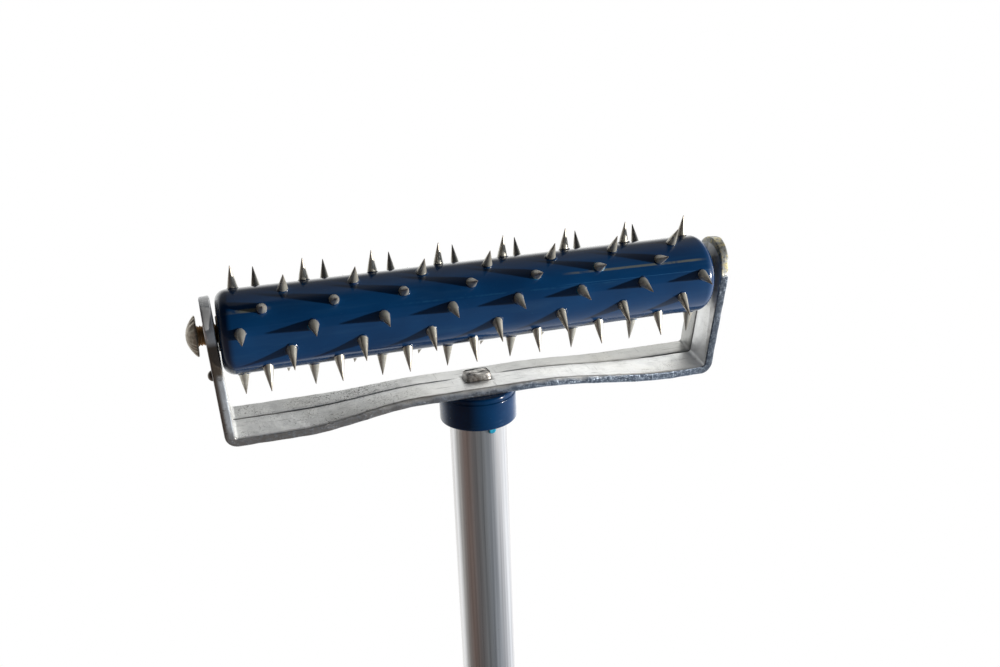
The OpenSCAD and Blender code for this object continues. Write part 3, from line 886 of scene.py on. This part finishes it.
def spigot_mesh():
    """Plug in the tube and a rough rectangular head beaten over on the yoke."""
    hx, hy, hz = 6.25 * MM, 4.2 * MM, 3.2 * MM   # half length, half width and height of the head
    seat = spig_hi.z - hz
    p = [(0, spig_lo.z), (10.9 * MM, spig_lo.z), (11.4 * MM, spig_lo.z + 0.5 * MM),
         (11.4 * MM, collar_hi.z - 0.02 * MM), (0, collar_hi.z - 0.02 * MM)]
    plug = turned(p, 72)
    nx, ny, nz = 34, 24, 10
    r2 = random.Random(21)
    waves = [(r2.uniform(350, 1100), r2.uniform(350, 1100), r2.uniform(0, 6.28),
              r2.uniform(0.06, 0.20)) for _ in range(9)]

    def bulge(u, v, w):
        """Rounded box point, u v in -1..1, w in 0..1, beaten surface on top and sides."""
        e = 5.0
        n = (abs(u) ** e + abs(v) ** e) ** (1 / e)
        m_ = max(abs(u), abs(v))
        k = (m_ / n) if n > 1e-9 else 1.0
        x, y = u * hx * k, v * hy * k
        shrink = 1 - 0.13 * w * w - 0.05 * (1 - w)
        x, y = x * shrink, y * shrink
        rough = sum(a * math.sin(f * x + g * y + 300 * w + ph) for f, g, ph, a in waves)
        z = hz * w
        if w > 0.99:
            d = m_
            z = hz * (0.93 - 0.20 * d ** 4) + rough * 0.55 * MM
            z = min(z, hz * 0.995)
            # a split where the metal folded over
            s = math.exp(-((y / MM + 0.9 - 0.22 * x / MM) / 0.22) ** 2)
            z -= 0.7 * MM * s * (1 if abs(x) < 5.2 * MM else 0.3)
        else:
            x *= 1 + 0.04 * rough
            y *= 1 + 0.06 * rough
        return Vector((x, y, seat + z))

    verts, faces, ids = [], [], {}

    def vid(u, v, w):
        key = (round(u, 5), round(v, 5), round(w, 5))
        if key not in ids:
            ids[key] = len(verts)
            verts.append(bulge(u, v, w))
        return ids[key]

    us = [-1 + 2 * i / nx for i in range(nx + 1)]
    vs = [-1 + 2 * i / ny for i in range(ny + 1)]
    ws = [i / nz for i in range(nz + 1)]
    for w in (0.0, 1.0):
        for i in range(nx):
            for j in range(ny):
                faces.append((vid(us[i], vs[j], w), vid(us[i + 1], vs[j], w),
                              vid(us[i + 1], vs[j + 1], w), vid(us[i], vs[j + 1], w)))
    for k in range(nz):
        for i in range(nx):
            for v in (-1, 1):
                faces.append((vid(us[i], v, ws[k]), vid(us[i + 1], v, ws[k]),
                              vid(us[i + 1], v, ws[k + 1]), vid(us[i], v, ws[k + 1])))
        for j in range(ny):
            for u in (-1, 1):
                faces.append((vid(u, vs[j], ws[k]), vid(u, vs[j + 1], ws[k]),
                              vid(u, vs[j + 1], ws[k + 1]), vid(u, vs[j], ws[k + 1])))
    return joined([plug, (verts, faces)])


spigot = piece("spigot_head", spigot_mesh(), M_SPIGOT, "frame", ["handle_spigot"], 40)

# ---------- collar, tube, grip ----------


def collar_mesh():
    """Moulded collar: full body, narrower ring on top, softly rounded rims."""
    r, lo, hi = (collar_hi.x - collar_lo.x) / 2, collar_lo.z, collar_hi.z
    ring = 2.2 * MM
    p = [(TUBE_R + 0.02 * MM, lo + 0.3 * MM), (TUBE_R + 0.4 * MM, lo)]
    p += arc(r - 1.0 * MM, lo + 1.0 * MM, 1.0 * MM, -90, 0, 6)
    p += [(r, lo + 4 * MM), (r, lo + 8 * MM)]
    p += arc(r - 0.45 * MM, hi - ring - 0.45 * MM, 0.45 * MM, 0, 70, 4)
    p += [(r - 0.55 * MM, hi - ring)]
    p += arc(r - 0.55 * MM - 0.9 * MM, hi - 0.9 * MM, 0.9 * MM, 0, 90, 6)
    p += [(11.6 * MM, hi), (11.5 * MM, tube_hi.z + 0.02 * MM),
          (TUBE_R + 0.02 * MM, tube_hi.z + 0.02 * MM)]

    def wob(rr, h, a):
        d = 0.0
        if rr > r - 0.1 * MM:
            off = math.atan2(math.sin(a - 0.6), math.cos(a - 0.6))
            d = 0.06 * MM * math.exp(-(off / 0.02) ** 2) + 0.02 * MM * math.sin(3 * a + 200 * h)
        return rr + d, h

    return turned(p, 240, True, wob)


piece("collar_ring", collar_mesh(), M_COLLAR, "frame", ["collar"], 35)


def blob_mesh():
    """A bead of overflowed plastic under the collar's rim."""
    verts, faces = [], []
    n, m_ = 14, 20
    for i in range(n + 1):
        t = math.pi * i / n
        for j in range(m_):
            a = 2 * math.pi * j / m_
            k = 1 + 0.18 * math.sin(3 * a + 2 * t) + 0.12 * math.sin(5 * a)
            verts.append(Vector((1.75 * MM * math.sin(t) * math.cos(a) * k,
                                 0.75 * MM * math.sin(t) * math.sin(a) * k, 1.7 * MM * math.cos(t))))
    for i in range(n):
        for j in range(m_):
            j2 = (j + 1) % m_
            faces.append((i * m_ + j, i * m_ + j2, (i + 1) * m_ + j2, (i + 1) * m_ + j))
    m = Matrix.Rotation(math.radians(-80), 4, "Z") @ at(TUBE_R + 0.45 * MM, 0, collar_lo.z - 1.5 * MM) @ \
        Matrix.Rotation(math.pi / 2, 4, "Z")
    return placed((verts, faces), m)


piece("collar_bead", blob_mesh(), M_BEAD, "frame", (), 60)


def tube_mesh():
    r, ri, lo, hi = TUBE_R, TUBE_R - 1.5 * MM, tube_lo.z, tube_hi.z
    c = 0.3 * MM
    p = [(ri, lo + c), (ri + c, lo), (r - c, lo), (r, lo + c)]
    n = 40
    p += [(r, lo + c + (hi - lo - 2 * c) * i / n) for i in range(1, n)]
    p += [(r, hi - c), (r - c, hi), (ri + c, hi), (ri, hi - c)]

    def wob(rr, h, a):
        return rr + (0.012 * MM * math.sin(5 * a + 9 * h) if rr > ri + 0.5 * MM else 0), h

    return turned(p, 160, True, wob)


piece("handle_tube_alloy", tube_mesh(), M_TUBE, "frame", ["handle_tube"], 30)


# one groove of the grip, as (along, inward) in mm
GROOVE = ((-1.5, 0), (-1.15, -0.08), (-0.85, -0.45), (-0.55, -0.72), (0, -0.8),
          (0.55, -0.72), (0.85, -0.45), (1.15, -0.08), (1.5, 0))


def grip_mesh():
    """Ribbed sleeve with rounded rims."""
    r, lo, hi = (grip_hi.x - grip_lo.x) / 2, grip_lo.z, grip_hi.z
    p = [(TUBE_R + 0.02 * MM, lo + 0.5 * MM), (TUBE_R + 0.5 * MM, lo)]
    p += arc(r - 1.2 * MM, lo + 1.2 * MM, 1.2 * MM, -90, 0, 6)
    ribs, first = 12, 10 * MM
    pitch = (hi - lo - 20 * MM) / ribs
    for i in range(ribs + 1):
        z = lo + first + i * pitch
        p += [(r + dr * MM, z + dz * MM) for dz, dr in GROOVE]
    p += arc(r - 1.6 * MM, hi - 1.6 * MM, 1.6 * MM, 0, 90, 6)
    p += [(TUBE_R + 0.4 * MM, hi - 0.1 * MM), (TUBE_R + 0.02 * MM, hi - 0.6 * MM)]
    return turned(p, 144, True)


piece("grip_sleeve", grip_mesh(), M_GRIP, "frame", ["grip"], 30)


def cap_mesh():
    """End plug with a flat tab and a round hanging hole, all edges eased."""
    r = (cap_hi.x - cap_lo.x) / 2
    top = grip_lo.z
    disc = 3.0 * MM
    p = [(0, top - disc), (r - 1.0 * MM, top - disc)]
    p += arc(r - 1.0 * MM, top - disc + 1.0 * MM, 1.0 * MM, -90, 0, 6)[1:]
    p += [(r, top - 0.3 * MM), (r - 0.3 * MM, top - 0.01 * MM), (TUBE_R - 1.6 * MM, top - 0.01 * MM),
          (TUBE_R - 1.6 * MM, cap_hi.z - 0.5 * MM), (TUBE_R - 2.1 * MM, cap_hi.z), (0, cap_hi.z)]
    plug = turned(p, 120)
    tab, hole = 9.0 * MM, 4.0 * MM               # radii of the tab and its hole
    ht, e = 2.5 * MM, 0.7 * MM                   # half thickness of the tab, easing of its edges
    zc = top - disc - tab
    n = 72

    def loop(inset, y, inner):
        pts = []
        for i in range(n):
            a = 2 * math.pi * i / n
            if inner:
                rr = hole + inset
                pts.append(Vector((rr * math.cos(a), y, zc + rr * math.sin(a))))
            else:
                rr = tab - inset
                c, s = math.cos(a), math.sin(a)
                if s > 0:
                    k_ = max(abs(c), abs(s))
                    x = rr * c / k_
                    z = (tab + 0.5 * MM) * s / k_
                else:
                    x, z = rr * c, rr * s
                pts.append(Vector((x, y, zc + z)))
        return pts

    loops = [loop(e, -ht, False), loop(0, -ht + e, False), loop(0, ht - e, False), loop(e, ht, False),
             loop(e, ht, True), loop(0, ht - e, True), loop(0, -ht + e, True), loop(e, -ht, True)]
    verts = [v for l in loops for v in l]
    faces = []
    for q in range(len(loops)):
        q2 = (q + 1) % len(loops)
        for i in range(n):
            i2 = (i + 1) % n
            faces.append((q * n + i, q2 * n + i, q2 * n + i2, q * n + i2))
    return joined([plug, (verts, faces)])


piece("grip_end_plug", cap_mesh(), M_CAP, "frame", ["grip_cap"], 30)

# ---------- floor, surroundings, light, camera ----------
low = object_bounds()[0].z
EYE = AX + Vector((-0.1092, -0.3951, 0.1318))    # camera, solved from the photo's spike pattern

# what shiny faces see, by compass angle: from -X round by the front, +X and the back, to -X
SURROUND = [(0.00, (0.17, 0.14, 0.13)), (0.05, (0.17, 0.115, 0.095)), (0.13, (0.15, 0.14, 0.14)),
            (0.235, (0.12, 0.13, 0.14)), (0.33, (0.23, 0.26, 0.30)), (0.43, (0.60, 0.65, 0.72)),
            (0.54, (0.95, 0.98, 1.04)), (0.62, (1.60, 1.60, 1.57)), (0.68, (1.60, 1.60, 1.57)),
            (0.77, (1.15, 1.15, 1.13)), (0.86, (1.35, 1.37, 1.38)), (0.93, (0.45, 0.44, 0.42)),
            (1.00, (0.17, 0.14, 0.13))]
# the same above the floor, darker in front
SKY = [(p, c if 0.36 < p < 0.90 else tuple(0.35 * v for v in c)) for p, c in SURROUND]


def studio(tree, source, socket, kind, output, middle, stops):
    """White to the eye; to all other rays, light by compass direction from a point.
"""
    tree.nodes.clear()
    k = Nodes(tree)
    place = k.new("ShaderNodeSeparateXYZ")
    k.link(k.new(source).outputs[socket], place.inputs[0])
    turn = k.math("ARCTAN2", k.sub(place.outputs[1], middle[1]), k.sub(place.outputs[0], middle[0]))
    lit, seen = k.new(kind), k.new(kind)
    k.link(k.ramp(k.span(turn, -math.pi, math.pi), stops), lit.inputs["Color"])
    seen.inputs["Color"].default_value = (1.0, 1.0, 1.0, 1)
    rays, pick, out = k.new("ShaderNodeLightPath"), k.new("ShaderNodeMixShader"), k.new(output)
    k.feed(zip(pick.inputs, (rays.outputs["Is Camera Ray"], lit.outputs[0], seen.outputs[0])))
    k.link(pick.outputs[0], out.inputs["Surface"])
    return k, place, lit


def floor():
    half = 30.0
    z = low - 0.001
    ob = make("floor", [(-half, -half, z), (half, -half, z), (half, half, z), (-half, half, z)], [(0, 1, 2, 3)])
    pale = bpy.data.materials.new("pale_floor")
    pale.use_nodes = True
    studio(pale.node_tree, "ShaderNodeNewGeometry", "Position", "ShaderNodeEmission",
           "ShaderNodeOutputMaterial", (AX.x, AX.y), SURROUND)
    pale.cycles.emission_sampling = "NONE"
    ob.data.materials.append(pale)


floor()

world = bpy.data.worlds.new("studio")
bpy.context.scene.world = world
world.use_nodes = True
k, place, lit = studio(world.node_tree, "ShaderNodeTexCoord", "Generated", "ShaderNodeBackground",
                       "ShaderNodeOutputWorld", (0.0, 0.0), SKY)
# dimmer overhead
overhead = k.span(place.outputs[2], 0.10, 0.55, 1.0, 0.17)
overhead.node.interpolation_type = "SMOOTHSTEP"
k.link(overhead, lit.inputs["Strength"])


def lamp(name, where, target, size, power, color):
    d = bpy.data.lights.new(name, "AREA")
    d.shape, d.energy, d.color, d.size = "DISK", power, color, size
    ob = bpy.data.objects.new(name, d)
    bpy.context.scene.collection.objects.link(ob)
    ob.location = where
    ob.rotation_mode = "QUATERNION"
    ob.rotation_quaternion = (Vector(target) - Vector(where)).to_track_quat("-Z", "Y")
    return ob


# hard key from the right and a little in front, level with the roller: it draws the long spike shadows
lamp("key", AX + 1.7 * Vector((0.874, -0.485, -0.02)).normalized(), AX, 0.06, 40.0, (1.0, 0.97, 0.92))

# soft fill from behind and above, kept to the bare metal so that the plastic stays deep
fill = lamp("fill", AX + 1.5 * Vector((0.42, 0.66, 0.62)).normalized(), AX, 1.2, 5.0, (1.0, 1.0, 0.985))
metal = bpy.data.collections.new("bare_metal")
for o in (yoke, spigot, bpy.data.objects["handle_tube_alloy"]):
    metal.objects.link(o)
fill.light_linking.receiver_collection = metal

bpy.context.scene.view_settings.view_transform = "Standard"

cam_data = bpy.data.cameras.new("camera")
cam_data.lens, cam_data.sensor_width = 36.873, 36.0
cam_data.clip_start, cam_data.clip_end = 0.01, 100
cam = bpy.data.objects.new("camera", cam_data)
bpy.context.scene.collection.objects.link(cam)
right = Vector((0.9537, -0.2988, -0.0343)).normalized()
look = Vector((0.2703, 0.9017, -0.3376)).normalized()
right = (right - look * right.dot(look)).normalized()
up = right.cross(look)
rot = Matrix((right, up, -look)).transposed().to_4x4()
cam.matrix_world = Matrix.Translation(EYE) @ rot
bpy.context.scene.camera = cam
